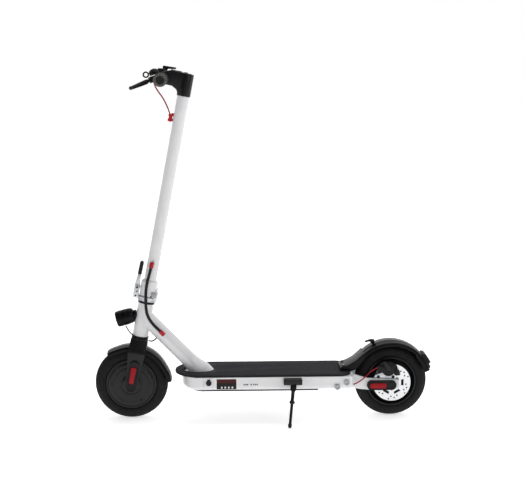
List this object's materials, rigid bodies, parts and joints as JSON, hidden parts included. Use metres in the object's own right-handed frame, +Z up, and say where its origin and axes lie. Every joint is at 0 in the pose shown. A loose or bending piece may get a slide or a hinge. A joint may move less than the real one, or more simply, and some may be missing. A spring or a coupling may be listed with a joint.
{
  "type": "electric kick scooter",
  "caption": "Folding electric kick scooter with hub motor, disc brake, deck battery, kickstand, lamp and mudguards.",
  "frame": {"origin": "on the ground under the middle of the bounding box", "axes": "+Z up, -X is the way the scooter drives, -Y is the kickstand side"},
  "size_m": [1.067, 0.43, 1.1089],
  "materials": {
    "white_paint": "gloss",
    "black_paint": "satin",
    "black_plastic": "matte",
    "black_rubber": "matte",
    "tyre_rubber": "matte",
    "bare_aluminium": "satin",
    "steel": "satin",
    "red_lens": "gloss",
    "red_rubber": "satin",
    "clear_lens": "gloss",
    "display_plastic": "gloss"
  },
  "bodies": {
    "frame": {"head_tube": "white_paint", "down_tube": "white_paint", "deck_shell": "white_paint", "deck_mat": "black_rubber", "bottom_cover": "black_plastic", "frame_screws": "steel", "electronics": "black_plastic", "headset_cups": "steel", "headlight_body": "black_plastic", "headlight_lens": "clear_lens", "headlight_wire": "black_rubber", "lower_grommet": "red_rubber", "rear_arms": "white_paint", "rear_covers": "black_plastic", "rear_lenses": "red_lens", "rear_fender": "black_plastic", "rear_axle": "steel", "rear_brake_cable": "red_rubber", "caliper_bracket": "bare_aluminium", "caliper_body": "black_plastic", "kickstand_bracket": "black_paint", "main_lead_lower": "black_rubber", "motor_lead": "black_rubber"},
    "fork": {"fork": "black_paint", "fork_trim": "black_plastic", "fork_reflectors": "red_lens", "fork_hardware": "steel", "front_fender": "black_plastic", "motor_core": "steel", "fold_base": "bare_aluminium"},
    "front_wheel": {"front_tyre": "tyre_rubber", "motor_shell": "black_paint", "motor_cover": "black_paint", "motor_magnets": "steel", "motor_hardware": "steel"},
    "rear_wheel": {"rear_tyre": "tyre_rubber", "rear_rim": "black_paint", "brake_rotor": "steel", "rear_hub_hardware": "bare_aluminium"},
    "stem": {"stem_foot": "white_paint", "stem_tube": "white_paint", "stem_head": "black_paint", "stem_grommets": "red_rubber", "handlebar": "black_paint", "grips": "black_rubber", "throttle_housing": "black_plastic", "lever_mount": "black_plastic", "bell_body": "black_plastic", "dash_display": "display_plastic", "front_brake_cable": "red_rubber", "main_lead_upper": "black_rubber"},
    "fold_lever": {"fold_lever": "bare_aluminium", "lever_grip": "black_rubber"},
    "brake_lever": {"brake_lever": "black_paint"},
    "throttle": {"throttle_paddle": "black_plastic"},
    "bell_lever": {"bell_lever": "black_plastic"},
    "power_button": {"power_button": "black_plastic"},
    "kickstand": {"kickstand": "black_paint"},
    "charge_cap": {"charge_cap": "black_plastic"},
    "caliper_arm": {"caliper_arm": "black_paint"}
  },
  "joints": [
    {"name": "steering", "type": "hinge", "parent": "frame", "child": "fork", "pos_m": [-0.4185, 0, 0.115], "axis": [0.1891, 0, 0.982], "range_deg": [-55, 55], "deforming": ["main_lead_lower", "motor_lead"]},
    {"name": "front_wheel_spin", "type": "hinge", "parent": "fork", "child": "front_wheel", "pos_m": [-0.4185, 0, 0.115], "axis": [0, 1, 0], "continuous": true},
    {"name": "rear_wheel_spin", "type": "hinge", "parent": "frame", "child": "rear_wheel", "pos_m": [0.4065, 0, 0.115], "axis": [0, 1, 0], "continuous": true},
    {"name": "stem_fold", "type": "hinge", "parent": "fork", "child": "stem", "pos_m": [-0.34266, 0, 0.39776], "axis": [0, 1, 0], "range_deg": [0, 91], "deforming": ["main_lead_upper"]},
    {"name": "fold_lever_turn", "type": "hinge", "parent": "fork", "child": "fold_lever", "pos_m": [-0.39561, 0, 0.42425], "axis": [0, 1, 0], "range_deg": [-100, 0]},
    {"name": "brake_lever_pull", "type": "hinge", "parent": "stem", "child": "brake_lever", "pos_m": [-0.33547, -0.084, 1.06899], "axis": [-0.3746, 0, 0.9272], "range_deg": [0, 20], "stiffness_Nm_per_rad": 1, "springref_deg": -20.05},
    {"name": "caliper_arm_turn", "type": "hinge", "parent": "frame", "child": "caliper_arm", "pos_m": [0.3935, -0.052, 0.164], "axis": [0, 1, 0], "range_deg": [0, 14]},
    {"name": "throttle_press", "type": "hinge", "parent": "stem", "child": "throttle", "pos_m": [-0.30447, 0.071, 1.07099], "axis": [0, 1, 0], "range_deg": [0, 30], "stiffness_Nm_per_rad": 0.3, "springref_deg": -17.19},
    {"name": "bell_flick", "type": "hinge", "parent": "stem", "child": "bell_lever", "pos_m": [-0.34603, -0.053, 1.08298], "axis": [0, 1, 0], "range_deg": [-25, 0], "stiffness_Nm_per_rad": 0.05, "springref_deg": 17.19},
    {"name": "power_press", "type": "slide", "parent": "stem", "child": "power_button", "axis": [0.1891, 0, 0.982], "range_m": [-0.001, 0], "stiffness_N_per_m": 400, "springref_m": 0.001},
    {"name": "kickstand_swing", "type": "hinge", "parent": "frame", "child": "kickstand", "pos_m": [0.0895, -0.1, 0.114], "axis": [-0.0804, -0.94, 0.3315], "range_deg": [0, 97]},
    {"name": "charge_cap_open", "type": "hinge", "parent": "frame", "child": "charge_cap", "pos_m": [-0.1735, -0.0895, 0.1435], "axis": [-1, 0, 0], "range_deg": [0, 85]}
  ],
  "couplings": [
    {"joint": "caliper_arm_turn", "follows": "brake_lever_pull", "ratio": 0.7}
  ]
}
